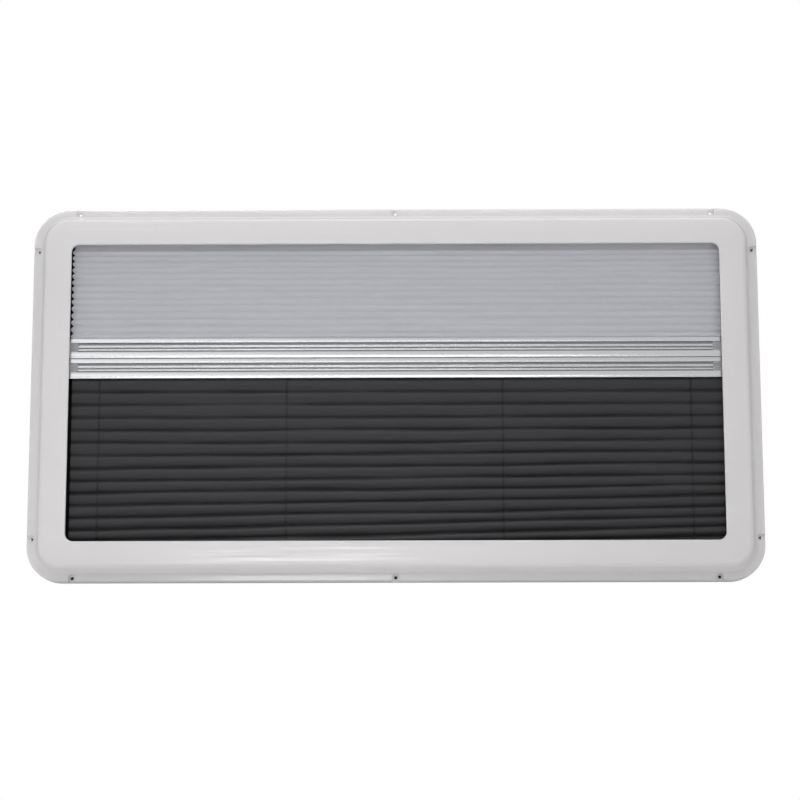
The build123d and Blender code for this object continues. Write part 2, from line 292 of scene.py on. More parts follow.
@dataclass(frozen=True)
class Finish:
    """What a surface is made of: its colour, gloss and the effect that gives it detail."""

    name: str
    colour: Colour
    roughness: float
    effect: Effect = Effect.GRAIN
    scale: float = 900.0
    depth: float = 0.05
    tone: float = 0.04
    gloss_change: float = 0.06
    metallic: float = 0.0
    specular: float = 0.5
    transmission: float = 0.0
    ior: float = 1.5
    on_cloth: bool = False

    def material(self) -> bpy.types.Material:
        """Gives the finish as a material, made at its first use.

        Returns:
            The material.
        """
        if self.name in bpy.data.materials:
            return bpy.data.materials[self.name]
        material = bpy.data.materials.new(self.name)
        material.use_nodes = True
        shader = material.node_tree.nodes["Principled BSDF"]
        shader.inputs["Metallic"].default_value = self.metallic
        shader.inputs["Specular IOR Level"].default_value = self.specular
        shader.inputs["Transmission Weight"].default_value = self.transmission
        shader.inputs["IOR"].default_value = self.ior
        self.dress(Tree(material.node_tree), shader)
        return material

    def dress(self, tree: Tree, shader: bpy.types.Node) -> None:
        """Feeds colour, roughness and relief from the finish's effect.

        Args:
            tree: The material's tree.
            shader: Its Principled BSDF.
        """
        place = tree.add("ShaderNodeTexCoord").outputs["UV" if self.on_cloth else "Object"]
        effect = tree.add("ShaderNodeGroup", node_tree=effect_group(self.effect))
        tree.tree.links.new(place, effect.inputs["Vector"])
        effect.inputs["Scale"].default_value = self.scale
        tone = effect.outputs["Tone"]
        colour = tree.tint(tone, shaded(self.colour, 1 - self.tone), shaded(self.colour, 1 + self.tone))
        colour = self.marked(tree, place, colour)
        gloss = tree.ramp(tone, self.roughness + self.gloss_change, self.roughness - self.gloss_change)
        relief = {"Height": effect.outputs["Height"], "Strength": self.depth, "Distance": MM}
        bump = tree.add("ShaderNodeBump", relief)
        tree.tree.links.new(colour, shader.inputs["Base Color"])
        tree.tree.links.new(gloss, shader.inputs["Roughness"])
        tree.tree.links.new(bump.outputs[0], shader.inputs["Normal"])

    def marked(self, tree: Tree, place: Socket, colour: Socket) -> Socket:
        """Draws a finish's marks over its colour; a plain finish has none.

        Args:
            tree: The material's tree.
            place: The coordinates that the marks follow.
            colour: The colour so far.

        Returns:
            The colour with the marks.
        """
        return colour


@dataclass(frozen=True)
class ClothFinish(Finish):
    """A cloth with painted shade in faint upright lines where its cords run."""

    creases: tuple[float, ...] = ()
    crease_width: float = 2.4 * MM
    crease_strength: float = 1.4
    crease_shade: float = 0.1
    shade_breakup_scale: float = 45.0

    def marked(self, tree: Tree, place: Socket, colour: Socket) -> Socket:
        """Paints shade along the crease lines.

        Args:
            tree: The material's tree.
            place: Where on the flat cloth a point lies.
            colour: The colour so far.

        Returns:
            The colour with painted shade along the creases.
        """
        across = tree.add("ShaderNodeSeparateXYZ", {"Vector": place}).outputs[0]
        mask: Value = 0.0
        for crease in self.creases:
            away = tree.math("ABSOLUTE", tree.math("SUBTRACT", across, crease))
            near = tree.math("SUBTRACT", 1.0, tree.math("DIVIDE", away, self.crease_width))
            mask = tree.math("MAXIMUM", near, mask)
        # painted shade along the cord lines, broken up by noise so that it fades in places
        shade_breakup = tree.math("MULTIPLY", tree.noise(place, self.shade_breakup_scale, PLAIN_LAYERS), self.crease_strength)
        mask = tree.math("MINIMUM", tree.math("MULTIPLY", mask, shade_breakup), 1.0)
        return tree.tint(mask, colour, shaded(self.colour, self.crease_shade))


@dataclass(frozen=True)
class GroovedFinish(Finish):
    """A drawn metal with painted shade in its grooves."""

    groove_shade: float = 0.4

    def marked(self, tree: Tree, place: Socket, colour: Socket) -> Socket:
        """Paints shade into the grooves.

        Args:
            tree: The material's tree.
            place: The coordinates of the surface, which the grooves don't need.
            colour: The colour so far.

        Returns:
            The colour with painted shade in the grooves.
        """
        # painted shade: the deeper a point lies in the grip, the darker its colour
        recess = tree.add("ShaderNodeAttribute", attribute_name=RECESS).outputs["Fac"]
        return tree.tint(recess, colour, shaded(self.colour, self.groove_shade))


FRAME_PLASTIC = Finish(
    "moulded_frame_plastic", srgb(206, 204, 205), 0.15, Effect.STREAKS, 170.0, 0.3, 0.015, 0.03,
    specular=0.4,
)
CHANNEL_PLASTIC = Finish("dark_channel_plastic", srgb(20, 20, 21), 0.7, specular=0.15)
RAIL_ALUMINIUM = GroovedFinish(
    "drawn_rail_aluminium", srgb(184, 185, 187), 0.26, Effect.STREAKS, 2600.0, 0.0, 0.03, 0.03,
    metallic=1.0,
)
CAP_PLASTIC = Finish("grey_cap_plastic", srgb(150, 151, 152), 0.45)
# where painted shade lines run down the blackout cloth, along its cords
CREASES = (35.5 * MM, 276.0 * MM, 553.0 * MM, 794.5 * MM)
FLYSCREEN_CLOTH = Finish(
    "flyscreen_net", srgb(175, 176, 181), 0.7, Effect.WEAVE, 700.0, 0.2, 0.05, 0.05,
    specular=0.3, on_cloth=True,
)
BLACKOUT_CLOTH = ClothFinish(
    "blackout_cloth", srgb(45, 45, 47), 0.4, Effect.WEAVE, 900.0, 0.2, 0.1, 0.06,
    specular=0.2, on_cloth=True, creases=CREASES,
)
CORD_FIBRE = Finish("tension_cord_fibre", srgb(58, 58, 59), 0.6, Effect.GRAIN, 3000.0, 0.3, 0.1)
OUTER_PAINT = Finish("black_outer_paint", srgb(30, 30, 31), 0.38, scale=1800.0, depth=0.06, tone=0.1)
SEAL_RUBBER = Finish("black_seal_rubber", srgb(24, 24, 24), 0.65, depth=0.12, tone=0.12)
SMOKE_ACRYLIC = Finish(
    "smoke_pane_acrylic", srgb(214, 215, 217), 0.03, scale=60.0, depth=0.0, tone=0.01,
    gloss_change=0.01, transmission=1.0, ior=1.49,
)
FITTING_PLASTIC = Finish("black_fitting_plastic", srgb(34, 34, 35), 0.42, depth=0.1, tone=0.1)
STAY_METAL = Finish(
    "brushed_stay_metal", srgb(196, 197, 199), 0.32, Effect.STREAKS, 3000.0, 0.06, 0.06, 0.08,
    metallic=1.0,
)
EASED_FINISH_OF_SLOT = {
    "channel_plastic": CHANNEL_PLASTIC,
    "cap_plastic": CAP_PLASTIC,
    "outer_aluminium": OUTER_PAINT,
    "seal_rubber": SEAL_RUBBER,
    "pane_acrylic": SMOKE_ACRYLIC,
    "fitting_plastic": FITTING_PLASTIC,
    "stay_metal": STAY_METAL,
}


def place(name: str, mesh: bpy.types.Mesh) -> bpy.types.Object:
    """Puts a mesh into the scene as an object at the origin.

    Args:
        name: The object's name.
        mesh: Its mesh.

    Returns:
        The object.
    """
    piece = bpy.data.objects.new(name, mesh)
    bpy.context.scene.collection.objects.link(piece)
    return piece


def settle(piece: bpy.types.Object) -> bpy.types.Object:
    """Turns a piece's modifiers into its plain mesh.

    Args:
        piece: The piece.

    Returns:
        The same piece, with the evaluated mesh and no modifiers.
    """
    bpy.context.view_layer.update()
    graph = bpy.context.evaluated_depsgraph_get()
    mesh = bpy.data.meshes.new_from_object(piece.evaluated_get(graph), depsgraph=graph)
    piece.modifiers.clear()
    piece.data = mesh
    return piece


def grow(piece: bpy.types.Object, group: bpy.types.NodeTree, values: Mapping[str, Any]) -> bpy.types.Object:
    """Runs a geometry node tree on a piece and keeps what it makes as the plain mesh.

    Args:
        piece: The piece.
        group: The node tree.
        values: What its inputs are set to, by name.

    Returns:
        The same piece.
    """
    modifier = piece.modifiers.new(group.name, "NODES")
    modifier.node_group = group
    for socket in group.interface.items_tree:
        if socket.in_out == "INPUT" and socket.name in values:
            modifier[socket.identifier] = values[socket.name]
    return settle(piece)


def mesh_of(shape: bmesh.types.BMesh, name: str) -> bpy.types.Mesh:
    """Turns a mesh under work into a mesh of its own.

    Args:
        shape: The mesh under work, which is freed.
        name: The new mesh's name.

    Returns:
        The mesh.
    """
    mesh = bpy.data.meshes.new(name)
    shape.to_mesh(mesh)
    shape.free()
    return mesh


def mend(shape: bmesh.types.BMesh) -> None:
    """Merges points that lie on the same spot and drops faces without area.

    Args:
        shape: The mesh under work.
    """
    bmesh.ops.remove_doubles(shape, verts=shape.verts, dist=SAME_SPOT)
    bmesh.ops.dissolve_degenerate(shape, edges=shape.edges, dist=SAME_SPOT)


def join_rings(shape: bmesh.types.BMesh, rings: Sequence[Sequence[bmesh.types.BMVert]]) -> None:
    """Joins closed rings of points with faces, each ring to the next.

    Args:
        shape: The mesh under work.
        rings: The rings, all with the same number of points.
    """
    for ring, other in zip(rings, rings[1:]):
        for k in range(len(ring)):
            following = (k + 1) % len(ring)
            shape.faces.new((ring[k], ring[following], other[following], other[k]))


def smooth(mesh: bpy.types.Mesh, angle: float = SMOOTH_ANGLE) -> None:
    """Shades a mesh smooth, apart from its sharp edges.

    Args:
        mesh: The mesh.
        angle: How sharp an edge may be and still be smooth.
    """
    mesh.shade_smooth()
    mesh.set_sharp_from_angle(angle=angle)


def stand_for(piece: bpy.types.Object, body: Body, *nodes: str) -> bpy.types.Object:
    """Makes a piece ride on a body in place of CAD nodes.

    Args:
        piece: The piece.
        body: The body it moves with.
        *nodes: The nodes it replaces.

    Returns:
        The same piece.
    """
    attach(piece, body.value)
    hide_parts(*nodes)
    LOG.info("%s rides on %s: %d faces", piece.name, body.value, len(piece.data.polygons))
    return piece


@dataclass(frozen=True)
class Lamp:
    """A soft rectangular lamp that the camera doesn't see."""

    name: str
    spot: Point3
    size: tuple[float, float]
    power: float
    aim_at: Point3
    spread: float = 180.0

    def build(self) -> None:
        """Hangs the lamp in the scene."""
        data = bpy.data.lights.new(self.name, "AREA")
        data.shape = "RECTANGLE"
        data.size, data.size_y = self.size
        data.energy = self.power
        data.spread = math.radians(self.spread)
        lamp = bpy.data.objects.new(self.name, data)
        aim = (Vector(self.aim_at) - Vector(self.spot)).to_track_quat("-Z", "Y")
        lamp.matrix_world = Matrix.Translation(self.spot) @ aim.to_matrix().to_4x4()
        lamp.visible_camera = False
        bpy.context.scene.collection.objects.link(lamp)


WINDOW_MIDDLE = (0.0058, 0.0, 0.2250)
FACE_MIDDLE = (0.0, -0.03, 0.2)
FLOOR_IN_FRONT = (-0.1, -0.9, 0.0)
LAMPS = (
    Lamp("key_lamp", (-1.8, -4.5, 3.3), (2.4, 2.4), 18.0, WINDOW_MIDDLE),
    Lamp("back_lamp", (-1.6, 5.0, 3.2), (2.4, 2.4), 170.0, WINDOW_MIDDLE),
    Lamp("strip_lamp", (-0.28, -3.28, 0.44), (0.5, 0.12), 3.4, WINDOW_MIDDLE),
    Lamp("floor_lamp", (-0.1, -1.1, 1.5), (0.8, 0.4), 5.5, FLOOR_IN_FRONT, spread=70.0),
    Lamp("sill_lamp", (0.0, -0.04, -0.06), (0.96, 0.04), 0.13, FACE_MIDDLE),
    Lamp("head_lamp", (0.0, -0.04, 0.53), (0.96, 0.04), 0.19, FACE_MIDDLE),
)


@dataclass
class Studio:
    """The camera, the lamps, the white surroundings and the floor."""

    target: Point3 = WINDOW_MIDDLE
    lamps: tuple[Lamp, ...] = LAMPS
    azimuth: float = 0.32
    elevation: float = -11.61
    roll: float = -0.10
    distance: float = 3.350
    focal_pixels: float = 2600.0
    sensor: float = 36.0
    ambient: float = 0.535
    front_light: float = 0.74
    side_light: float = 0.12
    floor_size: float = 9.0
    floor_colour: Colour = srgb(244, 244, 244)
    floor_roughness: float = 0.9

    def camera(self) -> None:
        """Sets up the camera at the photograph's viewing angle."""
        turn, rise = math.radians(self.azimuth), math.radians(self.elevation)
        back = Vector((math.sin(turn) * math.cos(rise), -math.cos(turn) * math.cos(rise), math.sin(rise)))
        data = bpy.data.cameras.new("camera")
        data.sensor_width = self.sensor
        data.lens = self.focal_pixels / IMAGE_SIDE * self.sensor
        camera = bpy.data.objects.new("camera", data)
        aim = (-back).to_track_quat("-Z", "Y").to_matrix().to_4x4()
        spot = Matrix.Translation(Vector(self.target) + back * self.distance)
        camera.matrix_world = spot @ aim @ Matrix.Rotation(math.radians(self.roll), 4, "Z")
        bpy.context.scene.collection.objects.link(camera)
        bpy.context.scene.camera = camera

    def surroundings(self) -> None:
        """Makes the surroundings white to the eye and in reflections.

        Their light on matt surfaces comes more from the front and from the left.
        """
        world = bpy.data.worlds.new("surroundings")
        world.use_nodes = True
        bpy.context.scene.world = world
        tree = Tree(world.node_tree)
        world.node_tree.nodes.clear()
        path = tree.add("ShaderNodeLightPath").outputs
        seen = tree.math("MAXIMUM", path["Is Camera Ray"], path["Is Glossy Ray"])
        seen = tree.math("MAXIMUM", seen, path["Is Transmission Ray"])
        towards = tree.add("ShaderNodeTexCoord").outputs["Generated"]
        heading = tree.add("ShaderNodeSeparateXYZ", {0: towards}).outputs
        share = tree.math("SUBTRACT", 1.0, tree.math("MULTIPLY", heading["X"], self.side_light))
        share = tree.math("SUBTRACT", share, tree.math("MULTIPLY", heading["Y"], self.front_light))
        strength = tree.blend(seen, tree.math("MULTIPLY", share, self.ambient), 1.0)
        sky = tree.add("ShaderNodeBackground", {"Color": WHITE, "Strength": strength})
        tree.add("ShaderNodeOutputWorld", {"Surface": sky.outputs[0]})

    def floor(self) -> None:
        """Lays a pale floor under the window that is seen only from above and casts no shadow."""
        half, level = self.floor_size / 2, CAD_BOX[0][2]
        corners = [(x * half, y * half, level) for x, y in ((-1, -1), (1, -1), (1, 1), (-1, 1))]
        mesh = bpy.data.meshes.new("floor")
        mesh.from_pydata(corners, [], [(0, 1, 2, 3)])
        material = bpy.data.materials.new("pale_floor")
        material.use_nodes = True
        tree = Tree(material.node_tree)
        shader = material.node_tree.nodes["Principled BSDF"]
        shader.inputs["Base Color"].default_value = self.floor_colour
        shader.inputs["Roughness"].default_value = self.floor_roughness
        underside = tree.add("ShaderNodeNewGeometry").outputs["Backfacing"]
        clear = tree.add("ShaderNodeBsdfTransparent").outputs[0]
        surface = tree.add("ShaderNodeMixShader", {0: underside, 1: shader.outputs[0], 2: clear})
        output = material.node_tree.nodes["Material Output"]
        tree.tree.links.new(surface.outputs[0], output.inputs["Surface"])
        mesh.materials.append(material)
        floor = place("floor", mesh)
        floor.visible_shadow = False

    def build(self) -> None:
        """Sets up everything that isn't the window."""
        bpy.context.scene.view_settings.view_transform = "Standard"
        self.camera()
        self.surroundings()
        self.floor()
        for lamp in self.lamps:
            lamp.build()


@dataclass
class RoomFrame:
    """The moulded frame: screw rim, sloped step, broad face and hollow back."""

    finish: Finish = FRAME_PLASTIC
    corner: float = 47.0 * MM
    border: float = 51.0 * MM
    opening_corner: float = 10.0 * MM
    opening_edge: float = 2.0 * MM
    rim_width: float = 11.5 * MM
    rim_height: float = 7.0 * MM
    rim_round: float = 2.5 * MM
    foot_round: float = 3.5 * MM
    step_run: float = 6.5 * MM
    shoulder_round: float = 6.0 * MM
    skin: float = 3.0 * MM
    rim_flat: tuple[float, float] = (0.1, 0.9)
    crown: float = 0.25 * MM
    flange: float = 15.5 * MM
    flange_lean: float = 2.2 * MM
    rib_inset: float = 21.0 * MM
    rib: float = 3.5 * MM
    screw_inset: float = 6.0 * MM
    screw_end_x: float = 59.0 * MM
    screw_end_z: float = 56.0 * MM
    screw_hole: float = 2.1 * MM
    pocket_half: float = 4.5 * MM
    pocket_seat: float = 3.5 * MM
    corner_steps: int = 20
    round_steps: int = 8
    side_steps: tuple[int, int] = (24, 12)
    low: Vector = field(default_factory=lambda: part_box("inner_frame")[0])
    high: Vector = field(default_factory=lambda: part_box("inner_frame")[1])

    def ring(self, inset: float, radius: float) -> list[Point2]:
        """Gives a rounded rectangle that follows the frame's outline.

        Args:
            inset: How far it lies inside the outline.
            radius: Its corner radius.

        Returns:
            Its points in X and Z, the same number for every ring.
        """
        middle_x, middle_z = (self.low.x + self.high.x) / 2, (self.low.z + self.high.z) / 2
        reach_x = (self.high.x - self.low.x) / 2 - inset - radius
        reach_z = (self.high.z - self.low.z) / 2 - inset - radius
        arcs = []
        for quarter, (side_x, side_z) in enumerate(((1, 1), (-1, 1), (-1, -1), (1, -1))):
            shares = [step / self.corner_steps for step in range(self.corner_steps + 1)]
            turns = [math.pi / 2 * (quarter + share) for share in shares]
            x, z = middle_x + side_x * reach_x, middle_z + side_z * reach_z
            arcs.append([(x + radius * math.cos(t), z + radius * math.sin(t)) for t in turns])
        points: list[Point2] = []
        for number, arc in enumerate(arcs):
            (x, z), (next_x, next_z) = arc[-1], arcs[(number + 1) % len(arcs)][0]
            steps = self.side_steps[number % 2]
            points += arc
            points += [(x + (next_x - x) * k / steps, z + (next_z - z) * k / steps) for k in range(1, steps)]
        return points

    def bend(self, before: Point2, at: Point2, after: Point2, radius: float) -> list[Point2]:
        """Rounds one corner of the section.

        Args:
            before: The point before the corner.
            at: The corner.
            after: The point after it.
            radius: The rounding's radius.

        Returns:
            Points along the rounding.
        """
        corner = Vector(at)
        one, two = (Vector(before) - corner).normalized(), (Vector(after) - corner).normalized()
        half = one.angle(two) / 2
        centre = corner + (one + two).normalized() * (radius / math.sin(half))
        start, end = corner + one * (radius / math.tan(half)), corner + two * (radius / math.tan(half))
        first, last = (start - centre).normalized(), (end - centre).normalized()
        shares = [step / self.round_steps for step in range(self.round_steps + 1)]
        return [tuple(centre + first.slerp(last, share) * radius) for share in shares]

    def section(self) -> list[Point3]:
        """Gives the closed section of the moulding.

        Returns:
            Inset, depth and corner radius of each point, from the outer edge over the face and
            back behind it.
        """
        face = self.low.y
        back = face + self.skin
        rim = -self.rim_height
        edge, foot = (0.0, rim), (self.rim_width, rim)
        shoulder, lip = (self.rim_width + self.step_run, face), (self.border, face)
        line = [(0.0, 0.0)]
        line += self.bend((0.0, 0.0), edge, foot, self.rim_round)
        foot_bend = self.bend(edge, foot, shoulder, self.foot_round)
        start, end = line[-1][0], foot_bend[0][0]
        line += [(start * (1 - share) + end * share, rim) for share in self.rim_flat]
        line += foot_bend
        line += self.bend(foot, shoulder, lip, self.shoulder_round)
        start, end = line[-1][0], self.border - self.opening_edge
        steps = self.round_steps
        for step in range(1, steps):
            share = step / steps
            line.append((start + (end - start) * share, face - self.crown * 4 * share * (1 - share)))
        line += self.bend(shoulder, lip, (self.border, back), self.opening_edge)
        line.append((self.border, back))
        rib_end = self.rib_inset + self.rib
        line += [(rib_end, back), (rib_end, 0.0), (self.rib_inset, 0.0), (self.rib_inset, back)]
        line += [(self.flange + self.flange_lean, back), (self.flange, 0.0)]
        return [(inset, depth, self.radius_at(inset)) for inset, depth in line]

    def radius_at(self, inset: float) -> float:
        """Gives the corner radius, concentric near the rim and easing to the opening's corner.

        Args:
            inset: How far inside the outline.

        Returns:
            The radius.
        """
        if inset <= self.rib_inset:
            return self.corner - inset
        share = (inset - self.rib_inset) / (self.border - self.rib_inset)
        return (self.corner - self.rib_inset) * (1 - share) + self.opening_corner * share

    def spots(self) -> list[Point3]:
        """Gives the screws' places.

        Returns:
            X, Z and the direction of the pocket's open side in degrees, for each screw.
        """
        middle = (self.low.x + self.high.x) / 2
        found = []
        for x in (self.low.x + self.screw_end_x, middle, self.high.x - self.screw_end_x):
            found.append((x, self.low.z + self.screw_inset, -90.0))
            found.append((x, self.high.z - self.screw_inset, 90.0))
        for z in (self.low.z + self.screw_end_z, self.high.z - self.screw_end_z):
            found.append((self.low.x + self.screw_inset, z, 180.0))
            found.append((self.high.x - self.screw_inset, z, 0.0))
        return found

    def cutter(self, name: str, outline: Sequence[Point2], near: float, far: float) -> bpy.types.Object:
        """Makes a tool that cuts the same hole at every screw.

        Args:
            name: The tool's name.
            outline: The hole's outline, with its open side towards +X.
            near: The depth where the cut starts.
            far: The depth where it ends.

        Returns:
            The tool.
        """
        shape = bmesh.new()
        for x, z, turn in self.spots():
            cos, sin = math.cos(math.radians(turn)), math.sin(math.radians(turn))
            turned = [(x + u * cos - v * sin, z + u * sin + v * cos) for u, v in outline]
            rows = [[shape.verts.new((a, depth, b)) for a, b in turned] for depth in (near, far)]
            shape.faces.new(rows[0][::-1])
            shape.faces.new(rows[1])
            join_rings(shape, rows)
        bmesh.ops.recalc_face_normals(shape, faces=shape.faces)
        return place(name, mesh_of(shape, name))

    def moulding(self) -> bpy.types.Mesh:
        """Sweeps the section round the window.

        Returns:
            The mesh of the moulding, before its pockets are cut.
        """
        shape = bmesh.new()
        rings = []
        for inset, depth, radius in self.section():
            rings.append([shape.verts.new((x, depth, z)) for x, z in self.ring(inset, radius)])
        join_rings(shape, [*rings, rings[0]])
        bmesh.ops.recalc_face_normals(shape, faces=shape.faces)
        return mesh_of(shape, "room_frame")

    def build(self) -> bpy.types.Object:
        """Makes the frame with its screw pockets.

        Returns:
            The frame.
        """
        piece = place("room_frame", self.moulding())
        half, steps = self.pocket_half, 2 * self.round_steps
        turns = [math.pi * (0.5 + step / steps) for step in range(steps + 1)]
        pocket = [(half * math.cos(t), half * math.sin(t)) for t in turns]
        pocket = [(2 * self.screw_inset, half), *pocket, (2 * self.screw_inset, -half)]
        turns = [math.pi * step / steps for step in range(2 * steps)]
        hole = [(self.screw_hole * math.cos(t), self.screw_hole * math.sin(t)) for t in turns]
        tools = [
            self.cutter("pocket_tool", pocket, -self.pocket_seat, 2 * self.low.y),
            self.cutter("hole_tool", hole, self.rim_height, -self.rim_height),
        ]
        for tool in tools:
            cut = piece.modifiers.new(tool.name, "BOOLEAN")
            cut.object, cut.operation, cut.solver = tool, "DIFFERENCE", "EXACT"
        settle(piece)
        for tool in tools:
            bpy.data.objects.remove(tool)
        shape = bmesh.new()
        shape.from_mesh(piece.data)
        mend(shape)
        shape.to_mesh(piece.data)
        shape.free()
        smooth(piece.data)
        piece.data.materials.clear()
        piece.data.materials.append(self.finish.material())
        return stand_for(piece, Body.FRAME, "inner_frame")


@dataclass(frozen=True)
class Drift:
    """A slow change along a cloth that differs from pleat to pleat."""

    waves: float
    scale: float

    def noise(self, tree: Tree, across: Socket, folds: Socket, seed: Socket) -> Socket:
        """Adds the change to a cloth's node tree.

        Args:
            tree: The cloth's tree.
            across: Where a point lies from the left edge, from 0 to 1.
            folds: How many pleats lie above it.
            seed: What makes one cloth differ from the next.

        Returns:
            The output socket, with values from 0 to 1.
        """
        spot = {"X": tree.math("MULTIPLY", across, self.waves), "Y": folds, "Z": seed}
        return tree.noise(tree.add("ShaderNodeCombineXYZ", spot).outputs[0], self.scale, PLAIN_LAYERS)


@dataclass
class PleatedSheet:
    """A pleated cloth between its fixed clip and its sliding rail."""

    name: str
    node: str
    joint: str
    finish: Finish
    pleats: int
    fixed_at_top: bool
    rests_on: tuple[str, ...]
    fill: tuple[float, float] = (1.02, 1.02)
    spread: tuple[float, float] = (0.0, 0.0)
    soften: float = 0.01
    sharpness: float = 1.0
    wobble: float = 0.8 * MM
    fade: float = 0.5
    deepen: float = 0.0
    tuck: float = 0.0
    shift: float = 0.0
    width: float = 0.838
    front: float = -15.0 * MM
    back: float = -5.0 * MM
    columns: int = 160
    rows: int = 16
    seed: float = 0.0
    wobble_noise: Drift = Drift(5.0, 0.7)
    fade_noise: Drift = Drift(9.0, 0.8)
    wobble_rise: float = 8.0
    tuck_reach: float = 1 / 40
    length_steps: int = 100
    low: Vector = field(init=False)
    high: Vector = field(init=False)

    def __post_init__(self) -> None:
        """Reads where the solid cloth is."""
        self.low, self.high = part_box(self.node)

    def cloth_length(self) -> float:
        """Works out how long the cloth is when its pleats are pulled flat.

        Returns:
            The length, from the middle of the sheet.
        """
        steps = self.pleats * self.length_steps
        depth, height = self.front - self.back, self.low.z - self.high.z
        line = []
        for step in range(steps + 1):
            share = step / steps
            fold = 1 - abs(2 * (share * self.pleats % 1) - 1)
            bulge = math.sin(math.pi / 2 * fold) ** self.sharpness
            line.append(Vector((self.back + depth * bulge, height * share)))
        return sum((b - a).length for a, b in zip(line, line[1:]))

    def tree(self) -> bpy.types.NodeTree:
        """Builds the node tree that folds a flat grid into pleats.

        Returns:
            The geometry node group, with a named input for each size.
        """
        group = bpy.data.node_groups.new(f"{self.name}_pleats", "GeometryNodeTree")
        group.interface.new_socket("Geometry", in_out="OUTPUT", socket_type="NodeSocketGeometry")
        kinds = {"Pleats": "Int", "Rows": "Int", "Columns": "Int", "Finish": "Material"}
        for name in self.inputs():
            kind = kinds.get(name, "Float")
            group.interface.new_socket(name, in_out="INPUT", socket_type=f"NodeSocket{kind}")
        tree = Tree(group)
        given = tree.add("NodeGroupInput").outputs
        count = tree.math("ADD", tree.math("MULTIPLY", given["Pleats"], given["Rows"]), 1.0)
        grid = tree.add(
            "GeometryNodeMeshGrid",
            {"Size X": 1.0, "Size Y": 1.0, "Vertices X": given["Columns"], "Vertices Y": count},
        )
        position = tree.add("GeometryNodeInputPosition").outputs[0]
        spot = tree.add("ShaderNodeSeparateXYZ", {0: position}).outputs
        across = tree.math("ADD", spot["X"], 0.5)
        down = tree.math("SUBTRACT", 0.5, spot["Y"])
        folds = tree.math("MULTIPLY", down, given["Pleats"])
        lay = tree.blend(across, given["Spread Left"], given["Spread Right"])
        fill = tree.blend(across, given["Fill Left"], given["Fill Right"])
        raw = tree.math("SUBTRACT", tree.math("ADD", 1.0, lay), tree.math("MULTIPLY", lay, down))
        raw = tree.math("MULTIPLY", tree.math("MULTIPLY", raw, down), fill)
        left = tree.math("DIVIDE", tree.math("SUBTRACT", 1.0, raw), given["Soften"])
        left = tree.math("LOGARITHM", tree.math("ADD", tree.math("EXPONENT", left), 1.0), math.e)
        fall = tree.math("SUBTRACT", 1.0, tree.math("MULTIPLY", left, given["Soften"]))
        sway = self.wobble_noise.noise(tree, across, folds, given["Seed"])
        sway = tree.math("MULTIPLY", tree.math("SUBTRACT", sway, 0.5), given["Wobble"])
        ends = tree.math("MULTIPLY", down, tree.math("SUBTRACT", 1.0, down))
        sway = tree.math("MULTIPLY", sway, tree.math("MULTIPLY", ends, self.wobble_rise))
        z = tree.math("ADD", tree.blend(fall, given["Top"], given["Bottom"]), sway)
        fold = tree.math("SUBTRACT", tree.math("MULTIPLY", tree.math("FRACT", folds), 2.0), 1.0)
        fold = tree.math("SUBTRACT", 1.0, tree.math("ABSOLUTE", fold))
        bulge = tree.math("SINE", tree.math("MULTIPLY", fold, math.pi / 2))
        hollow = tree.math("SUBTRACT", 1.0, tree.math("POWER", bulge, given["Sharpness"]))
        faded = self.fade_noise.noise(tree, across, folds, given["Seed"])
        kept = tree.math("SUBTRACT", 1.0, tree.math("MULTIPLY", faded, given["Fade"]))
        deeper = tree.math("ADD", 1.0, tree.math("MULTIPLY", down, given["Deepen"]))
        depth = tree.math("MULTIPLY", hollow, tree.math("MULTIPLY", kept, deeper))
        y = tree.blend(depth, given["Front"], given["Back"])
        end = tree.math("SUBTRACT", 1.0, tree.math("DIVIDE", across, self.tuck_reach))
        tuck = tree.math("MULTIPLY", tree.math("MAXIMUM", 0.0, end), given["Tuck"])
        aside = tree.math("ADD", tree.math("MULTIPLY", tuck, hollow), given["Shift"])
        x = tree.math("ADD", tree.math("MULTIPLY", spot["X"], given["Width"]), aside)
        folded = tree.add("ShaderNodeCombineXYZ", {"X": x, "Y": y, "Z": z}).outputs[0]
        along = tree.math("MULTIPLY", across, given["Width"])
        laid = tree.math("MULTIPLY", down, given["Cloth Length"])
        weave = tree.add("ShaderNodeCombineXYZ", {"X": along, "Y": laid})
        marked = tree.add(
            "GeometryNodeStoreNamedAttribute",
            {"Geometry": grid.outputs["Mesh"], "Name": "UVMap", "Value": weave.outputs[0]},
            data_type="FLOAT2", domain="CORNER",
        )
        cloth = tree.add("GeometryNodeSetPosition", {"Geometry": marked.outputs[0], "Position": folded})
        soft = tree.add("GeometryNodeSetShadeSmooth", {"Geometry": cloth.outputs[0]})
        real = tree.add("GeometryNodeRealizeInstances", {"Geometry": soft.outputs[0]})
        done = tree.add("GeometryNodeSetMaterial", {"Geometry": real.outputs[0], "Material": given["Finish"]})
        tree.add("NodeGroupOutput", {"Geometry": done.outputs[0]})
        return group

    def inputs(self) -> dict[str, Any]:
        """Gives the node tree's inputs.

        Returns:
            Their values by name.
        """
        return {
            "Pleats": self.pleats,
            "Rows": self.rows,
            "Columns": self.columns,
            "Width": self.width,
            "Top": self.high.z,
            "Bottom": self.low.z,
            "Front": self.front,
            "Back": self.back,
            "Spread Left": self.spread[0],
            "Spread Right": self.spread[1],
            "Fill Left": self.fill[0],
            "Fill Right": self.fill[1],
            "Soften": self.soften,
            "Sharpness": self.sharpness,
            "Wobble": self.wobble,
            "Fade": self.fade,
            "Deepen": self.deepen,
            "Tuck": self.tuck,
            "Shift": self.shift,
            "Cloth Length": self.cloth_length(),
            "Seed": self.seed,
            "Finish": self.finish.material(),
        }

    def build(self) -> bpy.types.Object:
        """Makes the cloth.

        Returns:
            The cloth.
        """
        piece = place(self.name, bpy.data.meshes.new(self.name))
        grow(piece, self.tree(), self.inputs())
        stand_for(piece, Body.FRAME, self.node)
        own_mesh(piece)
        return piece


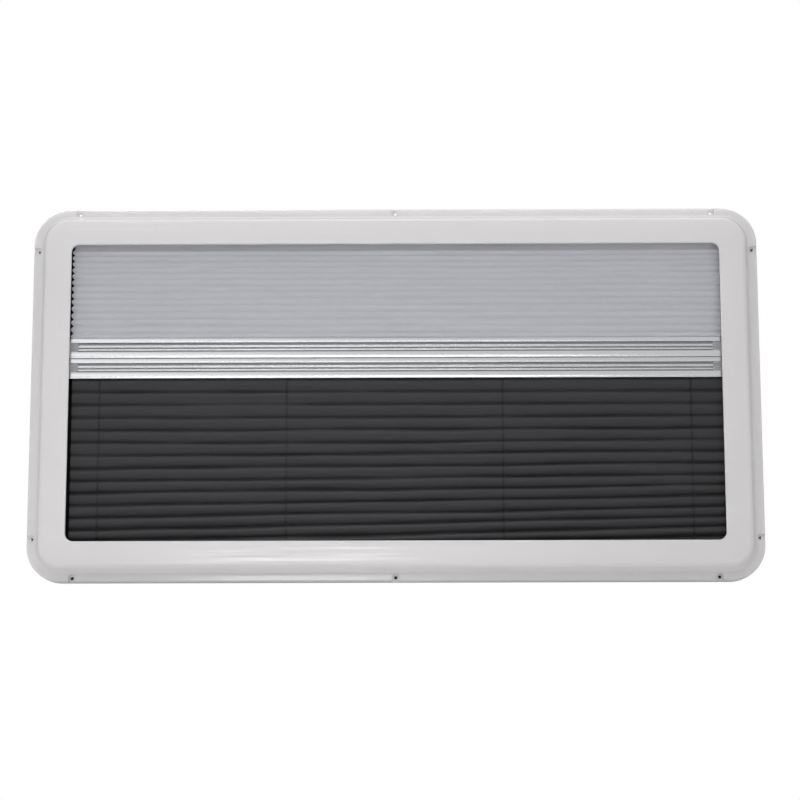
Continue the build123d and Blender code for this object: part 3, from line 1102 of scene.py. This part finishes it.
@dataclass
class TensionCords:
    """The four taut cords that hold the rails where they are left."""

    finish: Finish = CORD_FIBRE
    radius: float = 0.6 * MM
    sides: int = 10
    sharp: float = math.radians(50.0)
    ends: tuple[float, float] = (-380.0 * MM, 380.0 * MM)
    middles: tuple[float, float] = (-139.5 * MM, 139.5 * MM)

    def tree(self) -> bpy.types.NodeTree:
        """Builds the node tree that stands a cord on each point.

        Returns:
            The geometry node group.
        """
        group = bpy.data.node_groups.new("cords", "GeometryNodeTree")
        group.interface.new_socket("Geometry", in_out="OUTPUT", socket_type="NodeSocketGeometry")
        group.interface.new_socket("Geometry", in_out="INPUT", socket_type="NodeSocketGeometry")
        kinds = {"Length": "Float", "Radius": "Float", "Sides": "Int", "Finish": "Material"}
        for name, kind in kinds.items():
            group.interface.new_socket(name, in_out="INPUT", socket_type=f"NodeSocket{kind}")
        tree = Tree(group)
        given = tree.add("NodeGroupInput").outputs
        top = tree.add("ShaderNodeCombineXYZ", {"Z": given["Length"]}).outputs[0]
        line = tree.add("GeometryNodeCurvePrimitiveLine", {"Start": (0.0, 0.0, 0.0), "End": top})
        size = {"Resolution": given["Sides"], "Radius": given["Radius"]}
        ring = tree.add("GeometryNodeCurvePrimitiveCircle", size)
        sweep = {"Curve": line.outputs[0], "Profile Curve": ring.outputs[0], "Fill Caps": True}
        cord = tree.add("GeometryNodeCurveToMesh", sweep)
        stand = {"Points": given["Geometry"], "Instance": cord.outputs[0]}
        stood = tree.add("GeometryNodeInstanceOnPoints", stand)
        real = tree.add("GeometryNodeRealizeInstances", {"Geometry": stood.outputs[0]})
        done = tree.add("GeometryNodeSetMaterial", {"Geometry": real.outputs[0], "Material": given["Finish"]})
        tree.add("NodeGroupOutput", {"Geometry": done.outputs[0]})
        return group

    def build(self) -> bpy.types.Object:
        """Makes the cords.

        Returns:
            The cords as one piece.
        """
        low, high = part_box("tension_cords")
        feet = [(x, (low.y + high.y) / 2, low.z) for x in (*self.ends, *self.middles)]
        mesh = bpy.data.meshes.new("tension_cords")
        mesh.from_pydata(feet, [], [])
        piece = place("taut_cords", mesh)
        values = {
            "Length": high.z - low.z,
            "Radius": self.radius,
            "Sides": self.sides,
            "Finish": self.finish.material(),
        }
        grow(piece, self.tree(), values)
        smooth(piece.data, self.sharp)
        return stand_for(piece, Body.FRAME, "tension_cords")


@dataclass
class GripRail:
    """A drawn rail with a flared top band, two round ridges in its grip and a flared lip."""

    node: str
    body: Body
    finish: Finish = RAIL_ALUMINIUM
    top_band: float = 6.0 * MM
    grooves: tuple[float, float, float] = (2.8 * MM, 1.5 * MM, 1.5 * MM)
    ridges: tuple[float, float] = (3.4 * MM, 2.6 * MM)
    ridge_fullness: float = 0.35
    grip_floor: float = -12.5 * MM
    face: float = -14.2 * MM
    flare: float = 1.0 * MM
    lip: float = 1.8 * MM
    edge: float = 0.5 * MM
    plug: float = 15.5 * MM
    steps: int = 8
    low: Vector = field(init=False)
    high: Vector = field(init=False)

    def __post_init__(self) -> None:
        """Reads where the solid rail is."""
        self.low, self.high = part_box(self.node)

    def flared(self, top: float, bottom: float, rise: float) -> list[Point2]:
        """Gives a band that curves out towards its lower edge and turns back there.

        Args:
            top: The height where it starts.
            bottom: The height where it ends.
            rise: How far its lower edge stands out.

        Returns:
            Depth and height of its points.
        """
        shares = [step / self.steps for step in range(self.steps + 1)]
        drop, tip, edge = bottom + self.edge - top, self.face - rise, self.edge
        band = [(self.face - rise * share ** 2, top + drop * share) for share in shares]
        turns = [math.pi / 2 * share for share in shares[1:]]
        return band + [(tip + edge * (1 - math.cos(t)), bottom + edge * (1 - math.sin(t))) for t in turns]

    def section(self, plugged: bool) -> list[Point2]:
        """Gives the rail's closed section.

        Args:
            plugged: Whether the ridges are cut away for an end cap's plug.

        Returns:
            Depth and height of its points, the same number either way.
        """
        top, bottom, back = self.high.z, self.low.z, self.high.y
        z = top - self.top_band
        line = [(back, top)] + self.flared(top, z, self.flare) + [(self.grip_floor, z)]
        stand = 0.0 if plugged else self.face - self.grip_floor
        for groove, ridge in zip(self.grooves, self.ridges):
            z -= groove
            for step in range(self.steps + 1):
                turn = math.pi * step / self.steps
                rise = stand * math.sin(turn) ** self.ridge_fullness
                line.append((self.grip_floor + rise, z - ridge * (1 - math.cos(turn)) / 2))
            z -= ridge
        z -= self.grooves[-1]
        return line + [(self.grip_floor, z)] + self.flared(z, bottom, self.lip) + [(back, bottom)]

    def build(self) -> bpy.types.Object:
        """Makes the rail.

        Returns:
            The rail.
        """
        shape = bmesh.new()
        left, right = self.low.x, self.high.x
        inner = (left + self.plug, right - self.plug)
        stations = [(left, True), (inner[0], True), (inner[0], False)]
        stations += [(inner[1], False), (inner[1], True), (right, True)]
        rows = [[shape.verts.new((x, *spot)) for spot in self.section(plugged)] for x, plugged in stations]
        join_rings(shape, rows)
        shape.faces.new(rows[0])
        shape.faces.new(rows[-1])
        mend(shape)
        bmesh.ops.recalc_face_normals(shape, faces=shape.faces)
        mesh = mesh_of(shape, f"drawn_{self.node}")
        smooth(mesh)
        # the recess value from 0 to 1 sets how much painted shade the groove floors get
        recess = mesh.attributes.new(RECESS, "FLOAT", "POINT")
        for spot, vertex in zip(recess.data, mesh.vertices):
            depth = (vertex.co.y - self.face) / (self.grip_floor - self.face)
            spot.value = min(1.0, max(0.0, 2 * depth - 1))
        mesh.materials.append(self.finish.material())
        return stand_for(place(mesh.name, mesh), self.body, self.node)


@dataclass
class EasedParts:
    """Rigid parts that keep their solid shape and get eased edges and a finish."""

    nodes: tuple[str, ...]
    ease: float = 0.3 * MM
    steps: int = 2
    roundness: float = 0.5
    sharp: float = math.radians(35.0)
    flat: float = math.radians(0.5)

    def eased(self, node: str) -> bpy.types.Mesh:
        """Copies a node's solid with its triangles joined and its sharp edges eased.

        Args:
            node: The CAD node.

        Returns:
            The mesh.
        """
        shape = bmesh.new()
        shape.from_mesh(frame["nodes"][node].data)
        mend(shape)
        bmesh.ops.dissolve_limit(shape, angle_limit=self.flat, verts=shape.verts, edges=shape.edges)
        edges = [edge for edge in shape.edges if edge.is_manifold and edge.calc_face_angle() > self.sharp]
        bmesh.ops.bevel(
            shape, geom=edges, offset=self.ease, segments=self.steps, profile=self.roundness,
            affect="EDGES", clamp_overlap=True,
        )
        mend(shape)
        mesh = mesh_of(shape, node)
        smooth(mesh)
        return mesh

    def build(self) -> list[bpy.types.Object]:
        """Makes the parts.

        Returns:
            One piece for each node.
        """
        pieces = []
        for node in self.nodes:
            mesh = self.eased(node)
            mesh.materials.append(EASED_FINISH_OF_SLOT[SLOT_OF[node]].material())
            piece = place(f"eased_{node}", mesh)
            piece.modifiers.new("flat_faces", "WEIGHTED_NORMAL").keep_sharp = True
            pieces.append(stand_for(settle(piece), Body(BODY_OF[node]), node))
        return pieces


@dataclass
class RibbedCaps(EasedParts):
    """Rail end caps with fine ribs across the plugs that fill the grips."""

    ribs: int = 4
    rib_width: float = 1.6 * MM
    rib_height: float = 0.4 * MM
    rib_sink: float = 0.2 * MM
    rib_steps: int = 6
    plug: float = 15.5 * MM
    plug_face: float = -14.5 * MM
    grip_top: float = 6.0 * MM
    grip: float = 11.8 * MM

    def eased(self, node: str) -> bpy.types.Mesh:
        """Copies a cap's solid with eased edges and lays half-round ribs on its plug.

        Args:
            node: The CAD node.

        Returns:
            The mesh.
        """
        mesh = super().eased(node)
        low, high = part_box(node)
        start = high.x - self.plug if high.x < 0 else low.x
        shape = bmesh.new()
        shape.from_mesh(mesh)
        turns = [math.pi * step / self.rib_steps for step in range(self.rib_steps + 1)]
        for number in range(self.ribs):
            middle = high.z - self.grip_top - self.grip * (number + 0.5) / self.ribs
            root, rise = self.plug_face + self.rib_sink, self.rib_height + self.rib_sink
            line = [(root - rise * math.sin(t), middle + self.rib_width / 2 * math.cos(t)) for t in turns]
            near, far = [[shape.verts.new((x, *spot)) for spot in line] for x in (start, start + self.plug)]
            strip = [(near[k], near[k + 1], far[k + 1], far[k]) for k in range(self.rib_steps)]
            strip += [(near[0], near[-1], far[-1], far[0]), near, far]
            faces = [shape.faces.new(corners) for corners in strip]
            bmesh.ops.recalc_face_normals(shape, faces=faces)
        shape.to_mesh(mesh)
        shape.free()
        smooth(mesh)
        return mesh


def both(*names: str) -> tuple[str, ...]:
    """Gives the left and right node of each name.

    Args:
        *names: The names without their side.

    Returns:
        The nodes' names.
    """
    return tuple(f"{name}_{side}" for name in names for side in ("left", "right"))


def main() -> None:
    """Builds the studio and the window, piece by piece."""
    logging.basicConfig(level=logging.INFO, format="%(name)s: %(message)s")
    Studio().build()
    RoomFrame().build()
    PleatedSheet(
        "pleated_flyscreen", "flyscreen", "flyscreen_slide", FLYSCREEN_CLOTH, 16, True,
        ("flyscreen_clip", "flyscreen_rail"), spread=(-0.14, -0.14), tuck=3.0 * MM, shift=0.5 * MM,
        back=-12.3 * MM, seed=3.0,
    ).build()
    PleatedSheet(
        "pleated_blackout", "blackout_blind", "blackout_slide", BLACKOUT_CLOTH, 16, False,
        ("blackout_clip", "blackout_rail"), fill=(1.16, 1.03), spread=(0.05, 0.18), soften=0.03,
        sharpness=0.45, wobble=3.0 * MM, fade=0.8, deepen=0.7, shift=2.0 * MM, width=0.835,
        back=-7.5 * MM, seed=8.0,
    ).build()
    TensionCords().build()
    GripRail("flyscreen_rail", Body.FLYSCREEN).build()
    GripRail("blackout_rail", Body.BLACKOUT).build()
    RibbedCaps(both("flyscreen_rail_cap", "blackout_rail_cap")).build()
    EasedParts(
        ("head_channel", "sill_channel", "flyscreen_clip", "blackout_clip", *both("guide_channel"))
    ).build()
    EasedParts(("outer_frame", "pane_seal", "inner_pane", "outer_pane"), ease=0.6 * MM).build()
    EasedParts(("hinge_hook", "hinge_strip"), ease=0.5 * MM).build()
    EasedParts(both("stay_bracket", "stay_tube", "stay_rod", "stay_shoe")).build()
    EasedParts(both("latch_body", "latch_lever", "latch_catch"), ease=0.8 * MM).build()


if __name__ == "__main__":
    main()
